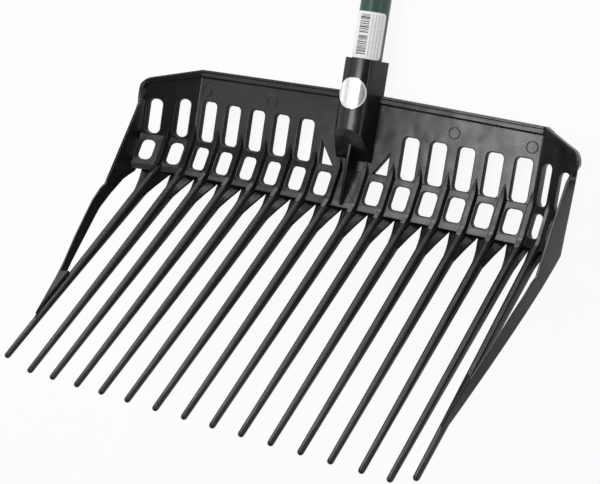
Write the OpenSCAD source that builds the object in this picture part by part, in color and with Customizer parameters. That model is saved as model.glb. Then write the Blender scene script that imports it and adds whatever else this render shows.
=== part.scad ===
// Manure fork with a sixteen tine basket head on a round tube handle.
// It lies on its back: +X to the right, +Y towards the grip, +Z up from the floor, sizes in mm.
// Inside the modules y = 0 is the bend line between the upper and lower rows of slots.

/* [Tines] */
// Distance from one tine to the next
tine_pitch = 25; // [24:0.5:27]
// Length of a tine from the heel plate to its tip
tine_len = 247.5; // [200:2.5:280]
// Angle between a tine and the back plate
tine_angle = 50; // [42:1:58]
// Diameter of a tine where it leaves its root
tine_root_d = 9.2; // [8:0.2:10]
// Diameter of the round tip
tine_tip_d = 4.6; // [4:0.2:6]
// Length of the flared root of a tine
root_len = 28; // [22:1:34]
// Length over which a root is still at its full width
root_full = 2; // [1:0.5:5]
// Gap between the flared roots at the heel plate
root_gap = 0.4; // [0.2:0.1:1]
// How much shorter the two outer tines are
outer_tine_cut = 12.5; // [0:2.5:30]

/* [Plates] */
// Thickness of the plates
plate_t = 3.5; // [2.5:0.25:4]
// Height of the front of the back plate above the floor
plate_z = 12; // [11:0.5:14]
// Forward bend of the lower row
heel_angle = 21; // [14:1:28]
// Width of a slot
slot_w = 14.5; // [12:0.5:16]
// Corner radius of a slot
slot_r = 4; // [2:0.5:5.5]
// Length of an upper slot
upper_slot_h = 37.5; // [30:0.5:42]
// Width of the corner openings beside the socket
corner_slot_w = 13; // [10:0.5:14]
// Height of the corner openings
corner_slot_h = 19.5; // [14:0.5:24]
// Length of a lower slot
lower_slot_h = 20; // [14:0.5:24]
// Rail between the two rows of slots
rail_h = 4.5; // [3:0.5:7]
// Bar under the lower slots
heel_h = 7.3; // [5:0.1:10]
// Plate above the upper slots, up to the top edge at the folds
top_band_h = 26; // [22:0.5:32]
// Rise of the top edge from the folds to the middle
crown = 3; // [0:0.5:6]

/* [Ribs] */
// Width of the rib in front of each tine
rib_w = 4; // [3:0.5:6]
// Height of a rib at the bend line
rib_h = 4; // [2:0.5:6]
// Start of a rib above the bend line
rib_start = 18; // [10:1:26]

/* [Side wings] */
// Forward fold of a wing
wing_angle = 38; // [30:1:42]
// Width of a wing seen from the front
wing_w = 39.5; // [38:0.5:46]
// Distance from the fold to the outer tine, seen from the front
wing_tine_x = 18.5; // [17:0.5:20]
// Width of a wing slot, seen from the front
wing_slot_w = 9.5; // [7:0.5:11]
// Distance of a wing slot's middle from the outer tine, seen from the front
wing_slot_off = 9.9; // [8.5:0.1:10.5]
// How much shorter an upper wing slot is
wing_slot_cut = 2; // [0:0.5:6]
// Drop of the top edge along a wing
wing_drop = 13; // [8:0.5:18]
// Drop of the cut corner of a wing
corner_drop = 7; // [4:0.5:9]

/* [Rim] */
// Thickness of the flange behind the top edge
rim_t = 3; // [2:0.5:4]
// Height of the raised band along the top edge
rim_band = 6.4; // [5:0.2:9]
// Raise of the band over the plate
rim_raise = 1.8; // [1:0.1:3]
// Depth of the flange behind a wing
wing_rim_depth = 7; // [4:0.5:8]

/* [Cheeks and struts] */
// Thickness of a cheek
cheek_t = 3; // [2:0.25:5]
// Rounding of the top end of a cheek
cheek_round = 8; // [6:0.5:10]
// Depth of a cheek behind the wing near the top
cheek_back = 9.5; // [6:0.5:12]
// Depth of a cheek behind the wing at the heel
cheek_heel_back = 14; // [10:0.5:16]
// Depth of a cheek in front of the wing near the top
cheek_top = 7; // [4:0.5:10]
// Depth of a cheek in front of the wing above the bend line
cheek_mid = 18; // [12:0.5:20]
// Depth of a cheek in front of the wing at the heel
cheek_low = 25; // [20:1:30]
// Height of the middle of a cheek above the bend line
cheek_mid_y = 11; // [6:0.5:14]
// How far a cheek runs past the heel plate
cheek_tail = 15; // [10:1:20]
// Lean of the lower end of a cheek
cheek_lean = 2; // [0:0.5:4]
// Rise of the lower end of a cheek over the heel
cheek_rise = 4; // [2:0.5:8]
// Depth of the strut where it meets the outer tine
strut_end_depth = 9; // [6:0.5:12]
// Length of the outer tine below the strut
strut_clear = 58; // [40:2:80]
// Gap between the strut and the outer tine
strut_gap = 0.1; // [0.05:0.05:0.4]

/* [Socket] */
// Height of the socket mouth above the bend line
mouth_y = 94.5; // [88:0.5:104]
// Lower end of the socket at the back plate
socket_foot_y = 9; // [6:0.5:12]
// Lower end of the socket at its front
socket_nose_y = 35.5; // [30:0.5:38]
// Half width of the socket at the back plate
socket_half_w = 17; // [16.5:0.25:17.5]
// Distance from the handle axis forward to the middle of the round front
socket_offset = 1.5; // [1:0.25:3]
// Radius of the round front
socket_front_r = 18; // [17.5:0.25:19]
// Angle at which the round front changes to the flat sides
socket_side_angle = 45; // [40:1:48]
// Plastic left along the handle between the tube and the sloping nose
socket_floor = 5; // [3:0.5:10]
// Gap around the tube in the socket and in the grip
tube_clearance = 0.15; // [0.1:0.05:0.3]
// Thickness of the fin under the socket
fin_t = 2.5; // [2:0.25:4]

/* [Handle] */
// Outside diameter of the tube
tube_d = 25.4; // [24:0.2:26]
// Wall of the tube
tube_wall = 1.2; // [0.9:0.1:2]
// Length of the tube
tube_len = 1200; // [900:25:1400]
// Wall between the tube and the floor side of the socket
tube_back_wall = 3.65; // [3:0.05:5]
// Length of the grip
grip_len = 120; // [90:5:160]
// Thickness of the closed end of the grip
grip_end_t = 4; // [3:0.5:8]
// Rounding of the grip ends
grip_round = 4; // [2:0.5:6]

/* [Fixing screw] */
// Diameter of the screw head
screw_head_d = 9; // [7:0.5:10]
// Height of the screw head
screw_head_h = 2.4; // [1.8:0.1:2.8]
// Diameter of the screw shank
screw_d = 4; // [3:0.25:5]
// Gap around the shank
screw_clearance = 0.2; // [0.1:0.05:0.4]
// Depth of the screw head under the back of the socket
screw_recess = 0.2; // [0.1:0.1:0.6]
// Length of the shank inside the tube
screw_tip = 4; // [2:0.5:8]
// Distance from the mouth to the screw
screw_drop = 30; // [20:1:45]

/* [Label and sticker] */
// Length of the label along the tube
label_len = 39; // [25:1:60]
// Half of the angle that the label goes around the tube
label_half_angle = 80; // [50:5:85]
// Distance from the mouth to the label
label_gap = 0.5; // [0.2:0.1:3]
// Thickness of the label and of the sticker
film_t = 0.25; // [0.2:0.05:0.5]
// Diameter of the round sticker
sticker_d = 26; // [18:0.5:28]
// Height of the middle of the sticker above the bend line
sticker_y = 65.5; // [58:0.5:76]

/* [Hidden] */
$fn = 96;

tines = 16;
far = 600;
plastic = [0.09, 0.09, 0.09];

// Slopes of the wings and of the lower row
wing_rise = tan(wing_angle);
heel_rise = tan(heel_angle);
fold_x = (tines / 2 - 1.5) * tine_pitch;
wing_x = fold_x + wing_w;
outer_x = fold_x + wing_tine_x;

// Levels along the plates
top_y = upper_slot_h + top_band_h;
heel_y = rail_h + lower_slot_h + heel_h;
lower_mid_y = -rail_h - lower_slot_h / 2;
corner_y = top_y - wing_drop - corner_drop;

// Handle axis and tine axis
tube_r = tube_d / 2;
axis_z = tube_r + tube_clearance + tube_back_wall;
tine_dy = -cos(tine_angle);
tine_dz = sin(tine_angle);
tine_z0 = plate_z + heel_y * heel_rise - plate_t / cos(heel_angle);

// Round front of the socket, placed so that its flat sides meet the plate at the half width
front_x = socket_front_r * sin(socket_side_angle);
front_z = axis_z + socket_offset;
side_z = front_z + socket_front_r * cos(socket_side_angle);
nose_z = front_z + socket_front_r;

// The tube starts where its bore is well inside the sloping nose
nose_run = (socket_nose_y - socket_foot_y) / (nose_z - plate_z);
tube_y = socket_foot_y + (axis_z + tube_r + tube_clearance - plate_z) * nose_run + socket_floor;
tube_end_y = tube_y + tube_len;
grip_y = tube_end_y + grip_end_t - grip_len;

// Middle of the whole fork along Y
tip_y = -heel_y + (tine_len - tine_tip_d / 2) * tine_dy - tine_tip_d / 2;
mid_y = (tube_end_y + grip_end_t + tip_y) / 2;

// Height of the front of the plates
function front_at(x, y) = plate_z + wing_rise * max(0, abs(x) - fold_x) + heel_rise * max(0, -y);
// Place of a tine across the head
function tine_x(i) = i == 1 ? -outer_x : i == tines ? outer_x : (i - (tines + 1) / 2) * tine_pitch;
// Extra height and shortening of the two outer tines
function tine_lift(i) = front_at(tine_x(i), 0) - plate_z;
function tine_cut(i) = i == 1 || i == tines ? outer_tine_cut : 0;
// Length of the tapered part of a tine, and its radius at a distance from the heel plate
function taper_len(i) = tine_len - tine_cut(i) - root_len - tine_tip_d / 2;
function tine_r(i, d) = (tine_root_d - (tine_root_d - tine_tip_d) * (d - root_len) / taper_len(i)) / 2;
// Top edge of the back plate
function top_at(x) = top_y + crown * (1 - abs(x) / fold_x);

// Moves the fork so that its middle is at y = 0
module placed() {
    translate([0, -mid_y, 0]) children();
}

// Block that follows a plate: top face raised over the front of the plate, bottom face depth below it
module sheet(side, low, raise, depth) {
    gx = side * wing_rise;
    gy = low ? heel_rise : 0;
    tilt = acos(1 / sqrt(1 + gx * gx + gy * gy));
    turn = gx == 0 && gy == 0 ? 0 : atan2(gy, -gx);
    translate([side * fold_x, 0, plate_z])
        rotate([0, tilt, turn])
        translate([-far / 2, -far / 2, -depth])
        cube([far, far, depth + raise]);
}

// Upright prism over a plan
module over_plan() {
    translate([0, 0, -far / 2]) linear_extrude(far) children();
}

// Solid profile drawn in the YZ plane, width wide, centred on x
module side_profile(points, x, width) {
    translate([x - width / 2, 0, 0])
        rotate([90, 0, 90])
        linear_extrude(width)
        polygon(points);
}

module rounded_slot(w, h, r) {
    square([w - 2 * r, h], center = true);
    square([w, h - 2 * r], center = true);
    for (sx = [-1, 1], sy = [-1, 1]) translate([sx * (w / 2 - r), sy * (h / 2 - r)]) circle(r);
}

// Everything below the front faces of the plates
module below_front() {
    for (side = [-1, 0, 1], low = [false, true]) sheet(side, low, 0, far);
}

module upper_slots() {
    for (k = [-6 : 6]) {
        if (abs(k) > 1) {
            translate([k * tine_pitch, upper_slot_h / 2]) rounded_slot(slot_w, upper_slot_h, slot_r);
        }
    }
    for (side = [-1, 1]) {
        x = side * (tine_pitch + slot_w / 2);
        polygon([[x, 0], [x, corner_slot_h], [x - side * corner_slot_w, 0]]);
    }
}

module lower_slots() {
    for (k = [-6 : 6]) {
        if (k != 0) {
            translate([k * tine_pitch, lower_mid_y]) rounded_slot(slot_w, lower_slot_h, slot_r);
        }
    }
}

// Slots of one wing, on both sides of the outer tine
module wing_slots(side, y, h) {
    for (off = [-wing_slot_off, wing_slot_off]) {
        translate([side * (outer_x + off), y]) rounded_slot(wing_slot_w, h, min(slot_r, wing_slot_w / 3));
    }
}

module back_plate() color(plastic) placed() {
    difference() {
        intersection() {
            sheet(0, false, 0, plate_t);
            over_plan() polygon([[-fold_x, 0], [fold_x, 0], [fold_x, top_y - rim_t],
                [0, top_at(0) - rim_t], [-fold_x, top_y - rim_t]]);
        }
        over_plan() upper_slots();
        translate([-socket_half_w, socket_foot_y, -far / 2]) cube([2 * socket_half_w, far, far]);
    }
}

module heel_plate() color(plastic) placed() {
    difference() {
        intersection() {
            sheet(0, true, 0, plate_t);
            over_plan() translate([-fold_x, -heel_y]) square([2 * fold_x, heel_y]);
        }
        over_plan() lower_slots();
    }
}

// Plan of the upper part of a wing, with its top edge lowered by inset
module wing_plan(side, inset) {
    polygon([[side * fold_x, 0], [side * wing_x, 0], [side * wing_x, corner_y - inset],
        [side * (wing_x - corner_drop), corner_y + corner_drop - inset], [side * fold_x, top_y - inset]]);
}

module wing(side) color(plastic) placed() {
    difference() {
        intersection() {
            sheet(side, false, 0, plate_t);
            over_plan() wing_plan(side, rim_t);
        }
        over_plan() wing_slots(side, (upper_slot_h - wing_slot_cut) / 2, upper_slot_h - wing_slot_cut);
    }
}
module left_wing() wing(-1);
module right_wing() wing(1);

module wing_heel(side) color(plastic) placed() {
    difference() {
        intersection() {
            sheet(side, true, 0, plate_t);
            over_plan() translate([side > 0 ? fold_x : -wing_x, -heel_y]) square([wing_w, heel_y]);
        }
        over_plan() wing_slots(side, lower_mid_y, lower_slot_h);
    }
}
module left_wing_heel() wing_heel(-1);
module right_wing_heel() wing_heel(1);

// Plan of the strip along the top edge of the back plate, beside the socket
module rim_plan(side, h) {
    x = side * socket_half_w;
    polygon([[x, top_at(x)], [side * fold_x, top_y], [side * fold_x, top_y - h], [x, top_at(x) - h]]);
}

module top_rim() color(plastic) placed() {
    for (side = [-1, 1]) {
        linear_extrude(plate_z + rim_raise) rim_plan(side, rim_t);
        translate([0, 0, plate_z]) linear_extrude(rim_raise) rim_plan(side, rim_band);
    }
}

module wing_rim(side) color(plastic) placed() {
    intersection() {
        sheet(side, false, rim_raise, wing_rim_depth);
        over_plan() difference() {
            wing_plan(side, 0);
            wing_plan(side, rim_t);
        }
    }
    intersection() {
        sheet(side, false, rim_raise, 0);
        over_plan() difference() {
            wing_plan(side, 0);
            wing_plan(side, rim_band);
        }
    }
}
module left_wing_rim() wing_rim(-1);
module right_wing_rim() wing_rim(1);

// Upper and lower corner of the lower end of a cheek, where the strut starts
tail_y = -heel_y - cheek_tail;
tail_top = [tail_y, front_at(wing_x, tail_y) + cheek_low];
tail_bottom = [tail_y - cheek_lean, front_at(wing_x, -heel_y) + cheek_rise];

module cheek(side) color(plastic) placed() {
    e = front_at(wing_x, 0);
    side_profile([
        [corner_y - cheek_round, e - cheek_back],
        [corner_y - cheek_round / 4, e - cheek_back / 2],
        [corner_y - cheek_round / 2, e],
        [corner_y - 2 * cheek_round, e + cheek_top],
        [cheek_mid_y, e + cheek_mid],
        [-heel_y / 2, front_at(wing_x, -heel_y / 2) + (cheek_mid + cheek_low) / 2],
        tail_top,
        tail_bottom,
        [-heel_y, front_at(wing_x, -heel_y) - cheek_heel_back]],
        side * (wing_x + cheek_t / 2), cheek_t);
}
module left_cheek() cheek(-1);
module right_cheek() cheek(1);

// Bar from the lower end of a cheek to the outer tine
module strut(side) color(plastic) placed() {
    reach = tine_len - outer_tine_cut - strut_clear;
    end_y = -heel_y + reach * tine_dy;
    end_z = tine_z0 + tine_lift(tines) + reach * tine_dz;
    end_x = outer_x + tine_r(tines, reach - cheek_t) + strut_gap;
    start = [tine_dy, tine_dz];
    hull() {
        side_profile([tail_top, tail_bottom, tail_bottom + start, tail_top + start],
            side * (wing_x + cheek_t / 2), cheek_t);
        translate([side * (end_x + cheek_t / 2), end_y, end_z])
            rotate([90 - tine_angle, 0, 0])
            cube([cheek_t, strut_end_depth, cheek_t], center = true);
    }
}
module left_strut() strut(-1);
module right_strut() strut(1);

// Section of the socket across the handle
module socket_section() {
    polygon([[-socket_half_w, plate_z - plate_t], [socket_half_w, plate_z - plate_t], [socket_half_w, plate_z],
        [front_x, side_z], [-front_x, side_z], [-socket_half_w, plate_z]]);
    intersection() {
        translate([0, front_z]) circle(socket_front_r);
        translate([-far / 2, side_z - 0.01]) square([far, far]);
    }
    intersection() {
        translate([0, axis_z]) circle(axis_z);
        translate([-far / 2, -1]) square([far, plate_z + 1]);
    }
}

// Shank or hole of the fixing screw, from below up into the tube
module screw_shank(d, z0, z1) {
    translate([0, mouth_y - screw_drop, z0]) cylinder(d = d, h = z1 - z0);
}

module socket() color(plastic) placed() {
    difference() {
        translate([0, mouth_y, 0]) rotate([90, 0, 0]) linear_extrude(mouth_y - socket_foot_y) socket_section();
        // Sloping nose
        side_profile([[socket_foot_y, plate_z], [socket_nose_y, nose_z], [socket_nose_y, far], [-far, far],
            [-far, plate_z]], 0, far);
        // Bore for the tube
        translate([0, far, axis_z]) rotate([90, 0, 0]) cylinder(r = tube_r + tube_clearance, h = far - tube_y);
        screw_shank(screw_head_d + 2 * screw_clearance, -far, screw_recess + screw_head_h + screw_clearance);
        screw_shank(screw_d + 2 * screw_clearance, 0, axis_z);
    }
}

module socket_fin() color(plastic) placed() {
    fin_z = front_at(0, -heel_y);
    side_profile([[socket_foot_y, plate_z], [socket_foot_y + (fin_z - plate_z) * nose_run, fin_z],
        [-heel_y, fin_z], [0, plate_z]], 0, fin_t);
}

module tine_ribs() color(plastic) placed() {
    difference() {
        for (i = [1 : tines]) {
            z = tine_lift(i) + plate_z;
            low = z + heel_y * heel_rise;
            side_profile([[rib_start, z], [0, z + rib_h], [-heel_y, low + rib_h], [-heel_y, low - plate_t],
                [0, z - plate_t], [rib_start, z - plate_t]], tine_x(i), rib_w);
        }
        below_front();
        // The two ribs in the middle end at the foot of the socket
        translate([-socket_half_w, socket_foot_y, 0]) cube([2 * socket_half_w, far, far]);
    }
}

// Flared root between the heel plate and a tine
module tine_root(i) {
    z = tine_z0 + tine_lift(i);
    front = plate_z + tine_lift(i) + heel_y * heel_rise;
    end_y = -heel_y + root_len * tine_dy;
    end_z = z + root_len * tine_dz;
    r = tine_root_d / 2;
    inner = (i == 1 || i == tines ? wing_tine_x : tine_pitch) / 2 - root_gap / 2;
    outer = (i < 3 || i > tines - 2 ? wing_tine_x : tine_pitch) / 2 - root_gap / 2;
    left = i <= tines / 2 ? outer : inner;
    right = i <= tines / 2 ? inner : outer;
    intersection() {
        side_profile([[-heel_y, front], [end_y + r * tine_dz, end_z - r * tine_dy],
            [end_y - r * tine_dz, end_z + r * tine_dy], [-heel_y, z]], tine_x(i), tine_pitch);
        translate([tine_x(i), -heel_y, z])
            rotate([90 - tine_angle, 0, 0])
            rotate([90, 0, 0])
            translate([0, 0, -far / 2])
            linear_extrude(far)
            polygon([[-left, -far], [right, -far], [right, root_full], [r, root_len], [-r, root_len],
                [-left, root_full]]);
    }
}

module tine_roots() color(plastic) placed() {
    for (i = [1 : tines]) tine_root(i);
}

module tine(i) color(plastic) placed() {
    translate([tine_x(i), -heel_y, tine_z0 + tine_lift(i)])
        rotate([90 - tine_angle, 0, 0])
        translate([0, 0, root_len]) {
            cylinder(d1 = tine_root_d, d2 = tine_tip_d, h = taper_len(i));
            translate([0, 0, taper_len(i)]) sphere(d = tine_tip_d);
        }
}
module tine_01() tine(1);
module tine_02() tine(2);
module tine_03() tine(3);
module tine_04() tine(4);
module tine_05() tine(5);
module tine_06() tine(6);
module tine_07() tine(7);
module tine_08() tine(8);
module tine_09() tine(9);
module tine_10() tine(10);
module tine_11() tine(11);
module tine_12() tine(12);
module tine_13() tine(13);
module tine_14() tine(14);
module tine_15() tine(15);
module tine_16() tine(16);

// Cylinder along the handle from y0 to y1
module along_handle(r, y0, y1) {
    translate([0, y1, axis_z]) rotate([90, 0, 0]) cylinder(r = r, h = y1 - y0);
}

module handle_tube() color([0.2, 0.33, 0.29]) placed() {
    difference() {
        along_handle(tube_r, tube_y, tube_end_y);
        along_handle(tube_r - tube_wall, tube_y - 1, tube_end_y + 1);
        screw_shank(screw_d, 0, axis_z);
    }
}

module handle_grip() color([0.12, 0.12, 0.12]) placed() {
    difference() {
        translate([0, grip_y, axis_z]) rotate([-90, 0, 0]) rotate_extrude() grip_profile();
        along_handle(tube_r + tube_clearance, grip_y - 1, tube_end_y);
    }
}

// Half section of the grip, with rounded ends
module grip_profile() {
    square([axis_z - grip_round, grip_len]);
    translate([0, grip_round]) square([axis_z, grip_len - 2 * grip_round]);
    for (y = [grip_round, grip_len - grip_round]) translate([axis_z - grip_round, y]) circle(grip_round);
}

module fixing_screw() color([0.6, 0.6, 0.6]) placed() {
    screw_shank(screw_head_d, screw_recess, screw_recess + screw_head_h);
    screw_shank(screw_d, screw_recess, axis_z - tube_r + tube_wall + screw_tip);
}

module handle_label() color([0.93, 0.93, 0.93]) placed() {
    y0 = mouth_y + label_gap;
    intersection() {
        difference() {
            along_handle(tube_r + film_t, y0, y0 + label_len);
            along_handle(tube_r, y0 - 1, y0 + label_len + 1);
        }
        side_wedge(axis_z, label_half_angle, y0, label_len);
    }
}

// Wedge around the handle axis that opens upwards
module side_wedge(z, half, y0, len) {
    w = 2 * tube_d;
    translate([0, y0 + len, z])
        rotate([90, 0, 0])
        linear_extrude(len)
        polygon([[0, 0], [w * sin(half), w * cos(half)], [0, 2 * w], [-w * sin(half), w * cos(half)]]);
}

module socket_sticker() color([0.8, 0.8, 0.8]) placed() {
    half = socket_side_angle - 1;
    intersection() {
        translate([0, 0, front_z - axis_z]) difference() {
            along_handle(socket_front_r + film_t, sticker_y - sticker_d, sticker_y + sticker_d);
            along_handle(socket_front_r, sticker_y - sticker_d - 1, sticker_y + sticker_d + 1);
        }
        translate([0, sticker_y, front_z]) cylinder(d = sticker_d, h = 2 * socket_front_r);
        side_wedge(front_z, half, sticker_y - sticker_d, 2 * sticker_d);
    }
}

back_plate();
heel_plate();
left_wing();
left_wing_heel();
right_wing();
right_wing_heel();
top_rim();
left_wing_rim();
right_wing_rim();
left_cheek();
right_cheek();
left_strut();
right_strut();
socket();
socket_fin();
tine_ribs();
tine_roots();
tine_01();
tine_02();
tine_03();
tine_04();
tine_05();
tine_06();
tine_07();
tine_08();
tine_09();
tine_10();
tine_11();
tine_12();
tine_13();
tine_14();
tine_15();
tine_16();
handle_tube();
handle_grip();
fixing_screw();
handle_label();
socket_sticker();
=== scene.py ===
"""Manure fork: a moulded basket head with straight tines on a painted tube handle, built around its frame."""

import math

import bmesh
import bpy
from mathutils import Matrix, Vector


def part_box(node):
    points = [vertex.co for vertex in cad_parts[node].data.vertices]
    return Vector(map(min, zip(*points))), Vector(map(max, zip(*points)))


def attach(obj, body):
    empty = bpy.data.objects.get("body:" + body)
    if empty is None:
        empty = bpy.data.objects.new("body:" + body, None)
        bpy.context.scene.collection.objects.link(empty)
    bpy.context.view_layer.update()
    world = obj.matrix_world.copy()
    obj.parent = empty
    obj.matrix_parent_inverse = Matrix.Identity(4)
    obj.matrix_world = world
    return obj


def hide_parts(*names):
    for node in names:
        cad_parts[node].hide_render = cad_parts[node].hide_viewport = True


bl_info = {
    "name": "Manure fork",
    "version": (1, 0, 0),
    "blender": (4, 5, 0),
    "location": "View3D > Sidebar > Fork",
    "description": "Models a manure fork piece by piece around its frame",
    "category": "Object",
}

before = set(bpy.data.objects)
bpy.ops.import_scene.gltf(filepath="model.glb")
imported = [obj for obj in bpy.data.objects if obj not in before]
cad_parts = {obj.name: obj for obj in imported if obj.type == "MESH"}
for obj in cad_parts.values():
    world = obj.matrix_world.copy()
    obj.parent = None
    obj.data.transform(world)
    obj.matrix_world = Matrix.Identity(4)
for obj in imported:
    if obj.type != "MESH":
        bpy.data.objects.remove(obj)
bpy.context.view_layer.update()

# Places that the frame gives
BODY = "root"
PLATE_LO, PLATE_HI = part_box("back_plate")
HEEL_LO, HEEL_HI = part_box("heel_plate")
WING_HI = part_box("right_wing")[1]
CHEEK_LO, CHEEK_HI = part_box("right_cheek")
SOCKET_LO, SOCKET_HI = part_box("socket")
FIN_LO, FIN_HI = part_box("socket_fin")
TUBE_LO, TUBE_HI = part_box("handle_tube")
GRIP_LO, GRIP_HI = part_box("handle_grip")
SCREW_LO, SCREW_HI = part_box("fixing_screw")
LABEL_LO, LABEL_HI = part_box("handle_label")
STICKER_LO, STICKER_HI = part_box("socket_sticker")
TINE_BOXES = [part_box(f"tine_{i:02d}") for i in range(1, 17)]
TINE_X = [(lo.x + hi.x) / 2 for lo, hi in TINE_BOXES]

BEND_Y = HEEL_HI.y
HEEL_LEN = HEEL_HI.y - HEEL_LO.y
FOLD_X = PLATE_HI.x
PLATE_Z = PLATE_HI.z
PLATE_T = PLATE_HI.z - PLATE_LO.z
WING_X = WING_HI.x
WALL_X = CHEEK_HI.x
WALL_T = CHEEK_HI.x - CHEEK_LO.x
WING_RISE = (WING_HI.z - PLATE_Z) / (WING_X - FOLD_X)
HEEL_RISE = (HEEL_HI.z - PLATE_Z) / HEEL_LEN
TOP_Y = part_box("right_wing_rim")[1].y - BEND_Y
PITCH = TINE_X[8] - TINE_X[7]
TUBE_R = (TUBE_HI.x - TUBE_LO.x) / 2
AXIS_Z = (TUBE_HI.z + TUBE_LO.z) / 2
MM = 0.001

# Slopes of the moulding: the bar under the lower slots against the heel, and the top edge of a wing
BAR_RISE, WING_DROP = 0.3, 0.37
# Cuts across a fold, as shares of its half width
FOLD_CUTS = (-1.0, -0.4, 0.0, 0.4, 1.0)
# Thickness of the label and the sticker, the gap under them, and the strips they are bent in
FILM_T, FILM_GAP, FILM_STRIPS = 0.2 * MM, 0.05 * MM, 28


class ForkSizes(bpy.types.PropertyGroup):
    """Sizes of the modelled pieces"""

    slot_w: bpy.props.FloatProperty(
        name="Slot width", description="Width of a slot in the back", default=0.0150, unit="LENGTH")
    slot_depth: bpy.props.FloatProperty(
        name="Slot depth", description="Depth of the walls of the slots", default=0.0065, unit="LENGTH")
    slot_round: bpy.props.FloatProperty(
        name="Slot rounding", description="Corner radius of a slot", default=0.004, unit="LENGTH")
    upper_slot: bpy.props.FloatProperty(
        name="Upper slot", description="Length of a slot in the upper row", default=0.0362, unit="LENGTH")
    lower_slot: bpy.props.FloatProperty(
        name="Lower slot", description="Length of a slot in the lower row", default=0.020, unit="LENGTH")
    rail: bpy.props.FloatProperty(
        name="Rail", description="Rail between the two rows", default=0.0056, unit="LENGTH")
    wing_slot_w: bpy.props.FloatProperty(
        name="Wing slot", description="Width of a wing slot in plan", default=0.0104, unit="LENGTH")
    wing_slot_off: bpy.props.FloatProperty(
        name="Wing slot offset", description="Wing slot to outer tine", default=0.0102, unit="LENGTH")
    crown: bpy.props.FloatProperty(
        name="Crown", description="Rise of the top edge to the middle", default=0.003, unit="LENGTH")
    edge_round: bpy.props.FloatProperty(
        name="Edge rounding", description="Rounding of moulded edges", default=0.0009, unit="LENGTH")
    fold_round: bpy.props.FloatProperty(
        name="Fold rounding", description="Half width of a rounded fold", default=0.0009, unit="LENGTH")
    corner_round: bpy.props.FloatProperty(
        name="Corner rounding", description="Radius of the upper wing corners", default=0.012, unit="LENGTH")
    tine_angle: bpy.props.FloatProperty(
        name="Tine angle", description="Tines against the back", default=math.radians(50), subtype="ANGLE")
    tine_w: bpy.props.FloatProperty(
        name="Tine width", description="Width of a tine at its root", default=0.0092, unit="LENGTH")
    tine_deep: bpy.props.FloatProperty(
        name="Tine depth", description="Depth of a tine at its root", default=0.0144, unit="LENGTH")
    tip_w: bpy.props.FloatProperty(
        name="Tip width", description="Width of a tine at its tip", default=0.0050, unit="LENGTH")
    root_len: bpy.props.FloatProperty(
        name="Root length", description="Length of a flared root", default=0.033, unit="LENGTH")
    rib_start: bpy.props.FloatProperty(
        name="Rib start", description="Start of a rib above the bend", default=0.0140, unit="LENGTH")
    rib_h: bpy.props.FloatProperty(
        name="Rib height", description="Height of a rib at the bend", default=0.004, unit="LENGTH")


class ForkColours(bpy.types.PropertyGroup):
    """Colours of the finishes and of the stage"""

    plastic: bpy.props.FloatVectorProperty(
        name="Plastic", description="Black plastic", subtype="COLOR", default=(0.0085, 0.0085, 0.0088))
    paint: bpy.props.FloatVectorProperty(
        name="Paint", description="Green paint of the tube", subtype="COLOR", default=(0.028, 0.075, 0.058))
    rubber: bpy.props.FloatVectorProperty(
        name="Grip", description="Dark grip", subtype="COLOR", default=(0.018, 0.018, 0.018))
    steel: bpy.props.FloatVectorProperty(
        name="Steel", description="Zinc plated screw", subtype="COLOR", default=(0.62, 0.63, 0.64))
    film: bpy.props.FloatVectorProperty(
        name="Label", description="White label film", subtype="COLOR", default=(0.91, 0.91, 0.90))
    ink: bpy.props.FloatVectorProperty(
        name="Ink", description="Print on the label", subtype="COLOR", default=(0.03, 0.03, 0.03))
    foil: bpy.props.FloatVectorProperty(
        name="Foil", description="Foil of the sticker", subtype="COLOR", default=(0.9, 0.9, 0.91))
    floor: bpy.props.FloatVectorProperty(
        name="Floor", description="Pale floor", subtype="COLOR", default=(0.9, 0.9, 0.9))


def sizes():
    """The sizes kept in the scene."""
    return bpy.context.scene.fork_sizes


def colours():
    """The colours kept in the scene."""
    return bpy.context.scene.fork_colours


# Shader expressions

class Socket:
    """An output socket that can be used in Python expressions."""

    def __init__(self, finish, out):
        self.finish = finish
        self.out = out

    def math(self, operation, other, turned=False):
        pair = [other, self] if turned else [self, other]
        return self.finish.node("ShaderNodeMath", {"operation": operation}, {0: pair[0], 1: pair[1]})

    def __add__(self, other):
        return self.math("ADD", other)

    __radd__ = __add__

    def __mul__(self, other):
        return self.math("MULTIPLY", other)

    __rmul__ = __mul__

    def __sub__(self, other):
        return self.math("SUBTRACT", other)

    def __rsub__(self, other):
        return self.math("SUBTRACT", other, turned=True)

    def __lt__(self, other):
        return self.math("LESS_THAN", other)

    def __gt__(self, other):
        return self.math("GREATER_THAN", other)

    def __abs__(self):
        return self.math("ABSOLUTE", 0.0)

    def most(self, other):
        return self.math("MAXIMUM", other)

    def part(self):
        """What stands after the point."""
        return self.math("FRACT", 0.0)

    def near(self, middle, reach):
        """One within reach of a middle, else nothing."""
        return abs(self - middle) < reach

    def beside(self, name):
        """Another output of the same node."""
        return Socket(self.finish, self.out.node.outputs[name])


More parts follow.
